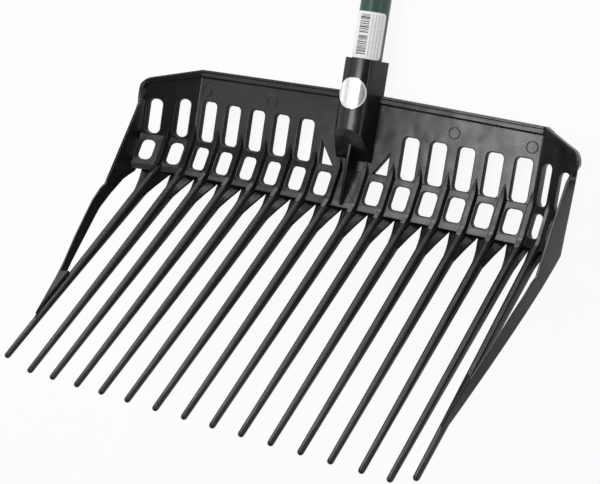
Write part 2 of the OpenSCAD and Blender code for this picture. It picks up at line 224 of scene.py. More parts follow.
class Finish:
    """A material or world whose nodes are written as expressions."""

    def __init__(self, name, holder=None):
        self.holder = holder or bpy.data.materials.new(name)
        self.holder.use_nodes = True
        self.tree = self.holder.node_tree
        self.tree.nodes.clear()

    def node(self, kind, settings=None, inputs=None, out=0):
        """Adds a node, sets its settings, then its inputs, and returns one of its outputs."""
        made = self.tree.nodes.new(kind)
        for key, value in (settings or {}).items():
            setattr(made, key, value)
        for key, value in (inputs or {}).items():
            if isinstance(value, Socket):
                self.tree.links.new(value.out, made.inputs[key])
            else:
                made.inputs[key].default_value = value
        return Socket(self, made.outputs[out]) if made.outputs else None

    def place(self, scale=(1, 1, 1), move=(0, 0, 0)):
        """Object coordinates, scaled and moved."""
        where = self.node("ShaderNodeTexCoord", out="Object")
        return self.node("ShaderNodeMapping", None, {"Vector": where, "Scale": scale, "Location": move})

    def noise(self, vector, scale, detail=2.0, rough=0.5):
        inputs = {"Vector": vector, "Scale": scale, "Detail": detail, "Roughness": rough}
        return self.node("ShaderNodeTexNoise", None, inputs, "Fac")

    def streaks(self, value, scale):
        """Noise along one value alone."""
        inputs = {"W": value, "Scale": scale, "Detail": 2.0}
        return self.node("ShaderNodeTexNoise", {"noise_dimensions": "1D"}, inputs)

    def ramp(self, value, low, high, bottom=0.0, top=1.0):
        """A value brought from one range to another."""
        inputs = {"Value": value, "From Min": low, "From Max": high, "To Min": bottom, "To Max": top}
        return self.node("ShaderNodeMapRange", None, inputs)

    def mix(self, factor, a, b):
        """Mix of two colours."""
        return self.node("ShaderNodeMix", {"data_type": "RGBA"}, {0: factor, 6: a, 7: b}, 2)

    def blend(self, factor, a, b):
        """Mix of two shaders."""
        return self.node("ShaderNodeMixShader", None, {0: factor, 1: a, 2: b})

    def bump(self, height, strength, distance):
        inputs = {"Height": height, "Strength": strength, "Distance": distance}
        return self.node("ShaderNodeBump", None, inputs)

    def surface(self, **inputs):
        """Principled shader on the material's output."""
        named = {key.replace("_", " "): value for key, value in inputs.items()}
        self.output(self.node("ShaderNodeBsdfPrincipled", None, named))
        return self.holder

    def output(self, shader):
        kind = "World" if isinstance(self.holder, bpy.types.World) else "Material"
        self.node("ShaderNodeOutput" + kind, None, {"Surface": shader})


def rgba(colour, by=1.0):
    return (colour[0] * by, colour[1] * by, colour[2] * by, 1.0)


def moulded_plastic():
    """Black plastic: satin skin with flow clouds, faint waviness and fine grain."""
    found = bpy.data.materials.get("moulded_plastic")
    if found:
        return found
    f = Finish("moulded_plastic")
    where = f.place()
    clouds = f.noise(where, scale=34.0, detail=3.0, rough=0.55)
    flow = f.noise(f.place(scale=(1.0, 0.35, 1.0)), scale=70.0)
    waves = f.noise(where, scale=52.0, detail=1.0)
    grain = f.noise(where, scale=2600.0)
    scuff = f.ramp(f.noise(where, scale=310.0, detail=4.0, rough=0.65), 0.62, 0.78)
    shade = f.mix(f.ramp(clouds, 0.35, 0.7), rgba(colours().plastic, 0.8), rgba(colours().plastic, 1.25))
    tone = f.mix(scuff * 0.25, shade, rgba(colours().plastic, 2.4))
    rough = f.ramp(clouds, 0.3, 0.7, bottom=0.19, top=0.31) + (flow - 0.5) * 0.12 + scuff * 0.08
    skin = f.bump(waves + grain * 0.006, strength=0.6, distance=1 * MM)
    return f.surface(Base_Color=tone, Roughness=rough, IOR=1.49, Normal=skin)


def tube_paint():
    """Green semi-gloss paint with a light orange peel."""
    f = Finish("tube_paint")
    where = f.place(scale=(1.0, 0.25, 1.0))
    clouds = f.noise(where, scale=60.0, detail=3.0)
    peel = f.bump(f.noise(f.place(), scale=900.0), strength=0.12, distance=0.3 * MM)
    tone = f.mix(f.ramp(clouds, 0.3, 0.7), rgba(colours().paint, 0.85), rgba(colours().paint, 1.2))
    rough = f.ramp(clouds, 0.3, 0.7, bottom=0.26, top=0.36)
    return f.surface(Base_Color=tone, Roughness=rough, IOR=1.5, Normal=peel)


def grip_rubber():
    """Dark matt rubber with a fine stipple."""
    f = Finish("grip_rubber")
    stipple = f.bump(f.noise(f.place(), scale=1500.0), strength=0.4, distance=0.3 * MM)
    clouds = f.noise(f.place(), scale=45.0, detail=3.0)
    tone = f.mix(f.ramp(clouds, 0.3, 0.7), rgba(colours().rubber, 0.8), rgba(colours().rubber, 1.4))
    rough = f.ramp(clouds, 0.3, 0.7, bottom=0.62, top=0.75)
    return f.surface(Base_Color=tone, Roughness=rough, Normal=stipple)


def screw_steel():
    """Zinc plated steel with a fine mottle in tone and roughness."""
    f = Finish("screw_steel")
    clouds = f.noise(f.place(), scale=400.0, detail=3.0)
    tone = f.mix(clouds, rgba(colours().steel, 0.75), rgba(colours().steel, 1.05))
    rough = f.ramp(clouds, 0.3, 0.7, bottom=0.28, top=0.42)
    return f.surface(Base_Color=tone, Metallic=1.0, Roughness=rough)


def label_film():
    """White film with a block of plain bars and a few grey rules, laid out on the label's own UV map."""
    f = Finish("label_film")
    uv = f.node("ShaderNodeUVMap", {"uv_map": "label"})
    across = f.node("ShaderNodeSeparateXYZ", None, {"Vector": uv}, "X")
    along = across.beside("Y")
    # Places and reaches are shares of the label's width and length
    block = across.near(0.46, 0.13) * abs(along - 0.51).near(0.23, 0.21)
    bars = f.streaks(along, 44.0) > 0.49
    column = across.near(0.78, 0.16) * along.near(0.5, 0.45)
    rules = (across * 13.0).part().near(0.5, 0.2)
    breaks = f.noise(uv, scale=30.0, detail=1.0) > 0.4
    ink = (block * bars).most(column * rules * breaks * 0.35)
    mottle = f.noise(f.place(), scale=260.0, detail=3.0)
    white = f.mix(mottle, rgba(colours().film, 0.95), rgba(colours().film, 1.03))
    tone = f.mix(ink, white, rgba(colours().ink))
    return f.surface(Base_Color=tone, Roughness=f.ramp(mottle, 0.3, 0.7, bottom=0.38, top=0.5))


def sticker_foil():
    """Silver foil with fine brushed rings around its middle and a paler edge."""
    f = Finish("sticker_foil")
    uv = f.node("ShaderNodeUVMap", {"uv_map": "label"})
    middle = {0: uv, 1: (0.5, 0.5, 0.0)}
    reach = f.node("ShaderNodeVectorMath", {"operation": "DISTANCE"}, middle, "Value")
    rings = f.streaks(reach, 90.0)
    edge = reach > 0.455
    tone = f.mix(rings, rgba(colours().foil, 0.9), rgba(colours().foil, 1.05))
    tone = f.mix(edge, tone, (0.9, 0.9, 0.9, 1.0))
    rough = f.ramp(rings, 0.3, 0.7, bottom=0.17, top=0.25)
    return f.surface(Base_Color=tone, Metallic=0.85 - edge * 0.6, Roughness=rough)


# Modelling helpers

def start_clean():
    """Object mode with nothing selected."""
    if bpy.context.mode != "OBJECT":
        bpy.ops.object.mode_set(mode="OBJECT")
    bpy.ops.object.select_all(action="DESELECT")


def activate(piece):
    """Selects one object alone and makes it active."""
    start_clean()
    piece.select_set(True)
    bpy.context.view_layer.objects.active = piece


def edit_mode():
    bpy.ops.object.mode_set(mode="EDIT")


def object_mode():
    bpy.ops.object.mode_set(mode="OBJECT")


def select_all():
    bpy.ops.mesh.select_all(action="SELECT")


def pick(test, kind="VERT"):
    """Selects the vertices or the faces of the edited mesh whose place and normal pass a test."""
    bpy.ops.mesh.select_mode(type=kind)
    bpy.ops.mesh.select_all(action="DESELECT")
    edited = bmesh.from_edit_mesh(bpy.context.object.data)
    for part in edited.verts if kind == "VERT" else edited.faces:
        part.select = test(part.co if kind == "VERT" else part.calc_center_median(), part.normal)
    edited.select_flush_mode()
    bmesh.update_edit_mesh(bpy.context.object.data)


def cut(place, normal):
    """Cuts the whole edited mesh along a plane."""
    select_all()
    bpy.ops.mesh.bisect(plane_co=place, plane_no=normal)


def extrude(move):
    bpy.ops.mesh.extrude_region_move(TRANSFORM_OT_translate={"value": move})


def modifier(kind, **settings):
    """Adds a modifier to the active object and applies it."""
    piece = bpy.context.object
    made = piece.modifiers.new(kind.lower(), kind)
    for key, value in settings.items():
        setattr(made, key, value)
    if bpy.ops.object.modifier_apply(modifier=made.name) != {"FINISHED"}:
        raise RuntimeError(f"the {made.name} of {piece.name} could not be applied")


def cut_away(piece, cutter):
    """Cuts one object out of another and removes it."""
    activate(piece)
    modifier("BOOLEAN", object=cutter, operation="DIFFERENCE", solver="EXACT")
    bpy.data.objects.remove(cutter)


def soften(width, segments, angle):
    """Rounds the sharp edges of the active object."""
    modifier("BEVEL", width=width, segments=segments, limit_method="ANGLE", angle_limit=math.radians(angle),
             use_clamp_overlap=True)


def tidy_mesh():
    """Merges doubles and turns the faces outwards."""
    edit_mode()
    select_all()
    bpy.ops.mesh.remove_doubles(threshold=1e-6)
    bpy.ops.mesh.normals_make_consistent(inside=False)
    object_mode()


def settle():
    """Puts the active object's place, turn and size into its mesh."""
    bpy.ops.object.transform_apply(location=True, rotation=True, scale=True)


def smooth(angle):
    bpy.ops.object.shade_smooth_by_angle(angle=math.radians(angle))


def keep_flats_flat():
    """Shades large faces flat next to rounded edges."""
    modifier("WEIGHTED_NORMAL", keep_sharp=True, weight=60)


def hand_over(piece, name, material, nodes):
    """Names a finished piece, gives it its finish and rides it on the fork's body."""
    if not piece.data.polygons:
        raise RuntimeError(f"{name} has no faces")
    piece.name = name
    piece.data.name = name
    piece.data.materials.clear()
    piece.data.materials.append(material)
    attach(piece, BODY)
    if nodes:
        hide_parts(*nodes)


def hand_over_head(piece, name, nodes):
    """Hands over a piece of the black moulding."""
    hand_over(piece, name, moulded_plastic(), nodes)


def ramp_up(t, w):
    """Zero below -w, t above w, and a smooth curve between them."""
    if t <= -w:
        return 0.0
    if t >= w:
        return t
    return (t + w) ** 2 / (4 * w)


def front_z(x, y):
    """Height of the front of the plates at a place given from the bend line."""
    s = sizes()
    w = s.fold_round
    bar = ramp_up(-y - s.rail - s.lower_slot - w, w) * BAR_RISE
    return PLATE_Z + WING_RISE * ramp_up(abs(x) - FOLD_X, w) + HEEL_RISE * ramp_up(-y, w) + bar


def arc(middle, radius, start, end, steps):
    """Points along an arc, angles in degrees."""
    turns = [math.radians(start + (end - start) * k / steps) for k in range(steps + 1)]
    return [(middle[0] + radius * math.cos(a), middle[1] + radius * math.sin(a)) for a in turns]


def rounded_box(x, y, w, h, r, steps=5):
    """Outline of a slot with round corners."""
    points = []
    for sx, sy, start in ((1, 1, 0), (-1, 1, 90), (-1, -1, 180), (1, -1, 270)):
        points += arc((x + sx * (w / 2 - r), y + sy * (h / 2 - r)), r, start, start + 90, steps)
    return points


def flat_curve(name, outlines, thickness, edge):
    """Plate drawn as a flat curve, the first outline outside and the others as holes, made a mesh."""
    curve = bpy.data.curves.new(name, "CURVE")
    curve.dimensions = "2D"
    curve.fill_mode = "BOTH"
    curve.extrude = thickness / 2 - edge
    curve.bevel_depth = edge
    curve.bevel_resolution = 2
    curve.offset = -edge
    for points in outlines:
        spline = curve.splines.new("POLY")
        spline.points.add(len(points) - 1)
        for p, (x, y) in zip(spline.points, points):
            p.co = (x, y, 0.0, 1.0)
        spline.use_cyclic_u = True
    drawn = bpy.data.objects.new(name, curve)
    bpy.context.scene.collection.objects.link(drawn)
    activate(drawn)
    bpy.ops.object.convert(target="MESH")
    tidy_mesh()
    return bpy.context.object


def loft(rings):
    """Solid through rings of corners: a face extruded from ring to ring, its corners put in place."""
    count = len(rings[0])
    step = 2 * math.pi / count
    start_clean()
    bpy.ops.mesh.primitive_circle_add(vertices=count, radius=1.0, fill_type="NGON")
    edit_mode()
    select_all()
    for k in range(len(rings) - 1):
        extrude((0, 0, 1.0))
    object_mode()
    for v in bpy.context.object.data.vertices:
        turn = math.atan2(v.co.y, v.co.x) % (2 * math.pi)
        x, y, z = rings[round(v.co.z)][int(turn / step + 1e-3) % count]
        v.co = (x, y + BEND_Y, z)
    tidy_mesh()
    return bpy.context.object


def moulded(rings, width, segments, angle=30, shading=35):
    """Solid through rings of corners with rounded edges between flat faces."""
    piece = loft(rings)
    soften(width, segments, angle)
    smooth(shading)
    keep_flats_flat()
    return piece


def join(pieces):
    """Joins pieces into the first one and makes it active."""
    activate(pieces[0])
    for piece in pieces[1:]:
        piece.select_set(True)
    bpy.ops.object.join()
    return bpy.context.object


def along_table(table, y):
    """Value read from a falling table of places and values, straight between its entries."""
    for (y0, v0), (y1, v1) in zip(table, table[1:]):
        if y >= y1:
            return v0 + (v1 - v0) * min(1.0, max(0.0, (y0 - y) / (y0 - y1)))
    return table[-1][1]


def cut_folds():
    """Cuts the active flat mesh where the plates fold."""
    w = sizes().fold_round
    bar_y = -sizes().rail - sizes().lower_slot - w
    edit_mode()
    for part in FOLD_CUTS:
        cut((0, part * w, 0), (0, 1, 0))
        cut((0, bar_y + part * w, 0), (0, 1, 0))
        for side in (-1, 1):
            cut((side * FOLD_X + part * w, 0, 0), (1, 0, 0))
    object_mode()


def lift_to_plates(raise_by=0.0):
    """Lifts a flat mesh, drawn around z = 0, to the front of the folded plates."""
    for v in bpy.context.object.data.vertices:
        v.co.z += front_z(v.co.x, v.co.y) + raise_by
        v.co.y += BEND_Y


def inward(path, k):
    """Direction across a plan path at one of its points, towards the inside of the head."""
    (x0, y0), (x1, y1) = path[max(0, k - 1)], path[min(len(path) - 1, k + 1)]
    dx, dy = x1 - x0, y1 - y0
    length = math.hypot(dx, dy)
    return dy / length, -dx / length


def corner_path(steps=10):
    """Plan of the right wing's edge: down the slope from the fold, round the corner and to the side."""
    r = sizes().corner_round
    cx = WALL_X - r
    cy = TOP_Y - WING_DROP * (cx - FOLD_X) - r * math.hypot(WING_DROP, 1.0)
    start = math.degrees(math.atan2(1.0, WING_DROP))
    return [(FOLD_X, TOP_Y)] + arc((cx, cy), r, start, 0, steps)


class FORK_OT_slotted_panel(bpy.types.Operator):
    """Model the slotted back, its bent lower row and the folded wings as one sheet"""

    bl_idname = "fork.slotted_panel"
    bl_label = "Slotted panel"

    # The panel ends inside the side walls: how far, as a share of their thickness
    INSET = 1.25
    # Strip between a fold and the wing slots: its extra depth, where it ends, and the width of its slope
    DEEPER, STRIP_END, STRIP_SLOPE = 3.6 * MM, TINE_X[-1] - 11.8 * MM, 0.6 * MM
    # Slots at the inner and the outer side of the outer tine: side, length of the upper and of the lower one,
    # raise of the lower one, and how much narrower the upper one is
    WING_SLOTS = ((-1, 34.5 * MM, 19.5 * MM, 0.6 * MM, 0.6 * MM), (1, 31.0 * MM, 17.6 * MM, 0.0, 0.0))
    # Shift of the upper and of the lower wing slots, start of the upper ones, extra width of the lower ones,
    # and the corner radius as a share of the width
    UPPER_SHIFT, LOWER_SHIFT, UPPER_START = 1.5 * MM, 1.9 * MM, 0.8 * MM
    LOWER_WIDER, WING_ROUND = 0.9 * MM, 0.42
    # Triangle beside the socket: its foot and its top above the bend, and its width
    TRIANGLE_FOOT, TRIANGLE_TOP, TRIANGLE_W = 0.6 * MM, 19.5 * MM, 13 * MM
    # Ejector marks: places from the middle line and the bend line, radius, and how deep they start
    MARKS = ((86.9 * MM, 46.2 * MM), (154.7 * MM, 45.8 * MM))
    MARK_R, MARK_SINK = 5.2 * MM, 0.1 * MM
    # Height of a mark's wall, width of the two slopes of its ring, and how far they rise and fall
    MARK_WALL, RING_W, RING_RISE, RING_FALL = 0.12 * MM, 0.45 * MM, 0.3 * MM, 0.25 * MM

    def execute(self, context):
        s = sizes()
        side = WALL_X - self.INSET * WALL_T
        right = [(side, -HEEL_LEN)] + [(min(x, side), y) for x, y in reversed(corner_path())]
        outline = right + [(0.0, TOP_Y + s.crown)] + [(-x, y) for x, y in reversed(right)]
        piece = flat_curve("slotted_panel", [outline] + self.slots(), s.slot_depth, s.edge_round)
        cut_folds()
        self.cut_strips()
        for v in piece.data.vertices:
            if v.co.z < 0:
                v.co.z -= self.deeper(abs(v.co.x))
        lift_to_plates(-s.slot_depth / 2)
        smooth(angle=50)
        keep_flats_flat()
        hand_over_head(piece, "slotted_panel", [
            "back_plate", "heel_plate", "left_wing", "left_wing_heel", "right_wing", "right_wing_heel"])
        self.marks()
        return {"FINISHED"}

    def cut_strips(self):
        """Cuts the flat panel at the slope of the deeper strips."""
        edit_mode()
        for x in (self.STRIP_END, self.STRIP_END + self.STRIP_SLOPE):
            for side in (-1, 1):
                cut((side * x, 0, 0), (1, 0, 0))
        object_mode()

    def deeper(self, x):
        """Extra depth of the panel at a distance from the middle."""
        start = (x - FOLD_X) / sizes().fold_round
        end = (self.STRIP_END + self.STRIP_SLOPE - x) / self.STRIP_SLOPE
        return self.DEEPER * max(0.0, min(1.0, start, end))

    def slots(self):
        """Outlines of the slots in the back and in the wings, and of the triangles beside the socket."""
        s = sizes()
        low_y = -s.rail - s.lower_slot / 2
        made = []
        # The socket takes the three middle places of the upper row, and its fin one place of the lower row
        for k in range(-6, 7):
            x = k * PITCH
            if abs(k) > 1:
                made.append(rounded_box(x, s.upper_slot / 2, s.slot_w, s.upper_slot, s.slot_round))
            if k:
                made.append(rounded_box(x, low_y, s.slot_w, s.lower_slot, s.slot_round))
        w = s.wing_slot_w
        r = w * self.WING_ROUND
        for side in (-1, 1):
            for way, long, low, rise, less in self.WING_SLOTS:
                x = TINE_X[-1] + way * s.wing_slot_off
                upper, lower = side * (x + self.UPPER_SHIFT + less / 2), side * (x + self.LOWER_SHIFT)
                made.append(rounded_box(upper, self.UPPER_START + long / 2, w - less, long, r))
                made.append(rounded_box(lower, rise - s.rail - low / 2, w + self.LOWER_WIDER, low, r))
            x = side * (PITCH + s.slot_w / 2)
            tip = (x - side * self.TRIANGLE_W, self.TRIANGLE_FOOT)
            made.append([(x, self.TRIANGLE_FOOT), (x, self.TRIANGLE_TOP), tip])
        return made

    def marks(self):
        """Round ejector marks, a hair proud of the back plate."""
        made = []
        for side in (-1, 1):
            for x, y in self.MARKS:
                start_clean()
                bpy.ops.mesh.primitive_circle_add(
                    vertices=40, radius=self.MARK_R, fill_type="NGON",
                    location=(side * x, y + BEND_Y, PLATE_Z - self.MARK_SINK))
                edit_mode()
                extrude((0, 0, self.MARK_WALL))
                bpy.ops.mesh.inset(thickness=self.RING_W, depth=self.RING_RISE)
                bpy.ops.mesh.inset(thickness=self.RING_W, depth=-self.RING_FALL)
                object_mode()
                made.append(bpy.context.object)
        piece = join(made)
        settle()
        tidy_mesh()
        smooth(angle=12)
        hand_over_head(piece, "ejector_marks", [])


class FORK_OT_top_rim(bpy.types.Operator):
    """Model the lip and the band along the top edge, on both sides of the socket and over the wings"""

    bl_idname = "fork.top_rim"
    bl_label = "Top rim"

    # Height and raise of the lip, the same of the band under it, and the width of the band's slanted foot
    LIP_H, LIP_RAISE = 2.2 * MM, 2.3 * MM
    BAND_H, BAND_RAISE, BAND_FOOT = 6.0 * MM, 1.7 * MM, 2.6 * MM
    # How far the band reaches under the lip, into the plate and into the socket
    UNDER_LIP, IN_PLATE, IN_SOCKET = 0.2 * MM, 1.5 * MM, 3 * MM
    # Band of a wing: raise, share of it at the inner edge, distance from the wing's edge, depth in the wing,
    # and how much narrower it is at the corner
    WING_RAISE, WING_SLANT, WING_OFF, IN_WING, NARROWER = 1.4 * MM, 0.7, 1.0 * MM, 1.0 * MM, 4.0 * MM

    def execute(self, context):
        for side, word in ((-1, "left"), (1, "right")):
            lip = self.strip(side, 0.0, self.LIP_H, self.LIP_RAISE, 0.0, 0.0)
            band = self.strip(side, self.LIP_H - self.UNDER_LIP, self.BAND_H, self.BAND_RAISE,
                              PLATE_Z - self.IN_PLATE, self.BAND_FOOT)
            hand_over_head(join([lip, band, self.wing_band(side)]), f"{word}_top_rim", ["top_rim"])
        return {"FINISHED"}

    def strip(self, side, y0, y1, raised, bottom, foot):
        """Bar along the crowned top edge, y0 to y1 below it, with a foot that slants out under it."""
        high = PLATE_Z + raised
        rings = []
        for x in (SOCKET_HI.x - self.IN_SOCKET, FOLD_X):
            top = TOP_Y + sizes().crown * (1 - x / FOLD_X)
            section = ((top - y0, bottom), (top - y0, high), (top - y1, high), (top - y1 - foot, bottom))
            rings.append([(side * x, y, z) for y, z in section])
        return moulded(rings, width=0.6 * MM, segments=3)

    def wing_band(self, side):
        """Raised band along the top edge of a wing, thinner towards the corner."""
        path = corner_path(8)
        rings = []
        for k, (x, y) in enumerate(path):
            nx, ny = inward(path, k)
            wide = self.BAND_H - self.NARROWER * k / (len(path) - 1)
            ring = []
            for off, up in ((self.WING_OFF, -self.IN_WING), (self.WING_OFF, self.WING_RAISE),
                            (wide, self.WING_RAISE * self.WING_SLANT), (wide, -self.IN_WING)):
                px, py = x + nx * off, y + ny * off
                ring.append((side * px, py, front_z(px, py) + up))
            rings.append(ring)
        return moulded(rings, width=0.5 * MM, segments=2, shading=40)


class FORK_OT_side_walls(bpy.types.Operator):
    """Model the wall that runs round each wing, grows into the cheek and ends as a strut on the outer tine"""

    bl_idname = "fork.side_walls"
    bl_label = "Side walls"

    # Round the corner: depth of the wall behind the edge at the fold, height and width of the lip in front,
    # width of the slope inside it at the fold and after it, and how far its inner edge stands over the wing
    BACK_TOP, LIP, LIP_W = 7 * MM, 0.8 * MM, 1.6 * MM
    SLOPE_START, SLOPE, PROUD = 3.4 * MM, 5 * MM, 0.2 * MM
    # The tables below are in millimetres, by the place from the bend line.
    # Outer face at its foot, its rim and its top: place, distance from the middle, height
    FOOT = ((39, 203.4, 39.5), (-31, 203.4, 44.8), (-36, 203.7, 52.0), (-42, 204.0, 62.0), (-54, 203.6, 78.0),
            (-66, 202.4, 93.0), (-72, 201.4, 99.0), (-90, 197.8, 116.2), (-110, 193.6, 135.6),
            (-120, 191.2, 144.8), (-140, 186.5, 164.0), (-158, 182.5, 183.0))
    RIM = ((39, 204.6, 46.9), (32, 204.9, 46.4), (26, 204.8, 45.8), (0, 204.4, 47.0), (-31, 203.6, 55.0),
           (-46, 203.2, 74.0), (-60, 201.6, 93.5), (-90, 195.4, 123.2), (-120, 189.0, 150.0),
           (-158, 182.0, 185.5))
    TOP = ((39, 202.4, 47.1), (35, 201.8, 47.1), (32, 200.8, 47.9), (-46, 200.9, 85.4), (-50, 200.3, 92.3),
           (-60, 198.8, 103.2), (-70, 196.7, 112.4), (-90, 193.1, 129.3), (-110, 188.8, 145.6),
           (-120, 186.9, 154.6), (-140, 183.7, 173.6), (-158, 181.5, 188.0))
    # Thickness at the foot, and the width and the fall of the top face towards the inside
    THICK = ((39, 4.0), (-28, 4.0), (-33, 9.0), (-40, 6.5), (-120, 6.5), (-150, 3.0))
    LAND = ((39, 2.3), (-46, 2.2), (-60, 1.3), (-110, 1.3), (-140, 2.3))
    FALL = ((39, 0.3), (20, 0.0), (-140, 0.0))
    # Places of the sections, and where the slope inside the corner starts and ends
    PLACES = (36, 34, 32, 30, 26, 20, 14, 8, 2, -2, -10, -20, -28, -31, -34, -38, -42, -46, -48, -50, -54,
              -60, -66, -72, -80, -90, -100, -110, -120, -130, -140, -150, -158)
    CORNER_START, CORNER_END = 39, 26
    # Web at the end of a strut: corners from the outer tine, direction across it, and half its thickness
    WEB = ((0.0, -117.0, 145.5), (5.5, -118.0, 152.0), (0.5, -150.0, 183.0))
    WEB_ACROSS, WEB_T = Vector((0, 0.72, 0.69)), 1.6 * MM

    def execute(self, context):
        for side, word in ((-1, "left"), (1, "right")):
            hand_over_head(join([self.wall(side), self.web(side)]), f"{word}_side_wall",
                           [f"{word}_wing_rim", f"{word}_cheek", f"{word}_strut"])
        return {"FINISHED"}

    def wall(self, side):
        """Wall with five corners across it, round the corner of the wing and down to the end of the strut."""
        path = corner_path(14)
        rings = [self.edge_ring(path, k) for k in range(len(path))]
        rings += [self.section(y) for y in self.PLACES if y * MM < path[-1][1] - 1 * MM]
        rings = [[(side * x, y, z) for x, y, z in ring] for ring in rings]
        return moulded(rings, width=0.4 * MM, segments=2, angle=50, shading=50)

    def edge_ring(self, path, k):
        """Corners of the wall at one point of the wing's edge."""
        x, y = path[k]
        nx, ny = inward(path, k)
        front = front_z(x, y)
        whole = front_z(WALL_X, y) - self.FOOT[0][2] * MM
        deep = self.BACK_TOP + (whole - self.BACK_TOP) * k / (len(path) - 1)
        run = self.SLOPE_START + (self.SLOPE - self.SLOPE_START) * min(1.0, k)
        ring = []
        for off, up in ((0, -deep), (0, self.LIP), (self.LIP_W, self.LIP + self.PROUD), (run, self.PROUD),
                        (run, -deep)):
            px, py = x + nx * off, y + ny * off
            ring.append((px, py, (front_z(px, py) if off == run else front) + up))
        return ring

    def section(self, y):
        """Corners of the wall at a place below the corner of the wing."""
        foot, rim, top = [Vector([along_table([(row[0], row[i]) for row in table], y) for i in (1, 2)])
                          for table in (self.FOOT, self.RIM, self.TOP)]
        thick, land, fall = [along_table(table, y) for table in (self.THICK, self.LAND, self.FALL)]
        inner = top - Vector((land, fall))
        bottom = foot - Vector((thick, 0))
        if y > self.CORNER_END:
            wing = self.RIM[0][1] - self.SLOPE / MM
            share = (y - self.CORNER_END) / (self.CORNER_START - self.CORNER_END)
            inner = inner.lerp(Vector((wing, (front_z(wing * MM, y * MM) + self.PROUD) / MM)), share)
            bottom = bottom.lerp(Vector((wing, foot.y)), share)
        return [(x * MM, y * MM, z * MM) for x, z in (foot, rim, top, inner, bottom)]

    def web(self, side):
        """Small web that closes the corner between the strut and the outer tine."""
        rings = []
        for way in (-1, 1):
            move = way * self.WEB_T * self.WEB_ACROSS
            rings.append([(side * (TINE_X[-1] + x * MM + move.x), y * MM + move.y, z * MM + move.z)
                          for x, y, z in self.WEB])
        return moulded(rings, width=0.5 * MM, segments=2, shading=40)


class FORK_OT_socket(bpy.types.Operator):
    """Model the socket with its round front, flat sides, sloping nose and the fin under it"""

    bl_idname = "fork.socket"
    bl_label = "Socket"

    # Radius of the front, its half angle in degrees, reach of the round shoulders and the points along one
    FRONT_R, SIDE_ANGLE, SHOULDER, SHOULDER_STEPS = 25 * MM, 31, 3.6 * MM, 8
    # Top of the sloping nose above the bend
    NOSE_Y = 35.5 * MM
    # Depth of the cutter for the bore and the gap around the tube
    BORE, BORE_GAP = 50 * MM, 0.25 * MM

    def execute(self, context):
        hand_over_head(self.hump(), "handle_socket", ["socket"])
        hand_over_head(self.fin(), "handle_socket_fin", ["socket_fin"])
        return {"FINISHED"}

    def section(self):
        """Outline across the handle, as x and height."""
        middle = (0, SOCKET_HI.z - self.FRONT_R)
        half = SOCKET_HI.x
        back_z = PLATE_Z - PLATE_T
        a = self.SIDE_ANGLE
        reach = math.degrees(self.SHOULDER / self.FRONT_R)
        front = arc(middle, self.FRONT_R, 90 - a + reach, 90 + a - reach, 20)
        corner = Vector(arc(middle, self.FRONT_R, 90 - a, 90 - a, 1)[0])
        side = corner + (Vector((half, PLATE_Z)) - corner).normalized() * self.SHOULDER
        shoulder = []
        for k in range(self.SHOULDER_STEPS):
            t = k / self.SHOULDER_STEPS
            shoulder.append((1 - t) ** 2 * side + 2 * t * (1 - t) * corner + t * t * Vector(front[0]))
        front = [tuple(p) for p in shoulder] + front + [(-p.x, p.y) for p in reversed(shoulder)]
        low = math.degrees(math.asin((back_z - AXIS_Z) / AXIS_Z))
        back = arc((0, AXIS_Z), AXIS_Z, 180 - low, 360 + low, 24)
        return front + [(-half, PLATE_Z), (-half, back_z)] + back + [(half, back_z), (half, PLATE_Z)]

    def hump(self):
        """The section drawn out along the handle, with a sloping nose and the bore for the tube."""
        foot = SOCKET_LO.y
        piece = flat_curve("handle_socket", [self.section()], SOCKET_HI.y - foot, 0.0)
        piece.rotation_euler = (math.pi / 2, 0, 0)
        piece.location = (0, (SOCKET_HI.y + foot) / 2, 0)
        settle()
        edit_mode()
        rise = SOCKET_HI.z - PLATE_Z
        run = self.NOSE_Y + BEND_Y - foot
        select_all()
        bpy.ops.mesh.bisect(
            plane_co=(0, foot, PLATE_Z), plane_no=(0, -rise, run), use_fill=True, clear_outer=True)
        object_mode()
        tidy_mesh()
        start_clean()
        bpy.ops.mesh.primitive_cylinder_add(
            vertices=96, radius=TUBE_R + self.BORE_GAP, depth=self.BORE, location=(0, SOCKET_HI.y, AXIS_Z),
            rotation=(math.pi / 2, 0, 0))
        cut_away(piece, bpy.context.object)
        soften(width=1.2 * MM, segments=4, angle=24)
        smooth(angle=40)
        keep_flats_flat()
        return piece

    def fin(self):
        """Thin upright plate from the nose down to the heel."""
        slope = (self.NOSE_Y + BEND_Y - SOCKET_LO.y) / (SOCKET_HI.z - PLATE_Z)
        top_z = FIN_HI.z
        y0 = SOCKET_LO.y - BEND_Y + 3 * MM
        heel = -HEEL_LEN + 1 * MM
        outline = [
            (y0, PLATE_Z - 1 * MM), (y0 + (top_z - PLATE_Z) * slope, top_z), (heel + 3 * MM, top_z + 1 * MM),
            (heel, top_z - 1 * MM), (heel, top_z - 3 * MM), (0, PLATE_Z - 2 * MM)]
        piece = flat_curve("handle_socket_fin", [outline], FIN_HI.x - FIN_LO.x, 0.5 * MM)
        piece.rotation_euler = (math.pi / 2, 0, math.pi / 2)
        piece.location = (0, BEND_Y, 0)
        settle()
        smooth(angle=40)
        return piece


